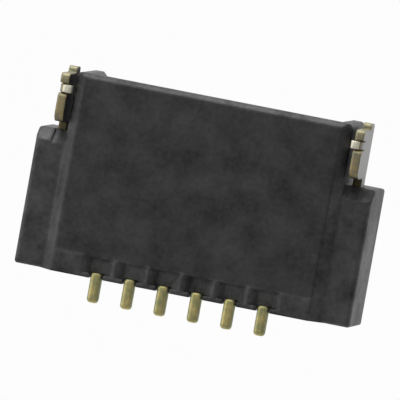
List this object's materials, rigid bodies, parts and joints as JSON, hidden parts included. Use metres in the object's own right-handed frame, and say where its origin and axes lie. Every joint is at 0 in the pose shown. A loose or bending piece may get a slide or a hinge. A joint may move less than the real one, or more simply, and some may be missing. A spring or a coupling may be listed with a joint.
{
  "type": "fpc connector",
  "caption": "Low surface-mount connector for a flat flexible cable: black moulded housing with a front cable slot, stamped contacts with rear tails, side fitting nails and a rear flip lever.",
  "frame": {"origin": "middle of the footprint on the board plane", "axes": "+X along the row of contacts, +Y from the cable side to the solder tails, +Z away from the board"},
  "size_m": [0.005, 0.0032, 0.001],
  "materials": {
    "housing": "matte, slightly mottled moulded surface",
    "actuator": "matte moulded surface",
    "contact": "thin gold-coloured plating on stamped sheet",
    "nail": "plated stamped sheet, paler on its rolled faces"
  },
  "bodies": {
    "housing": {"housing": "housing", "contact_1": "contact", "contact_2": "contact", "contact_3": "contact", "contact_4": "contact", "contact_5": "contact", "contact_6": "contact", "nail_left": "nail", "nail_right": "nail"},
    "actuator": {"actuator": "actuator"}
  },
  "joints": [
    {"name": "actuator_hinge", "type": "hinge", "parent": "housing", "child": "actuator", "pos_m": [0, 0.0002, 0.00048], "axis": [1, 0, 0], "range_deg": [0, 90]}
  ]
}
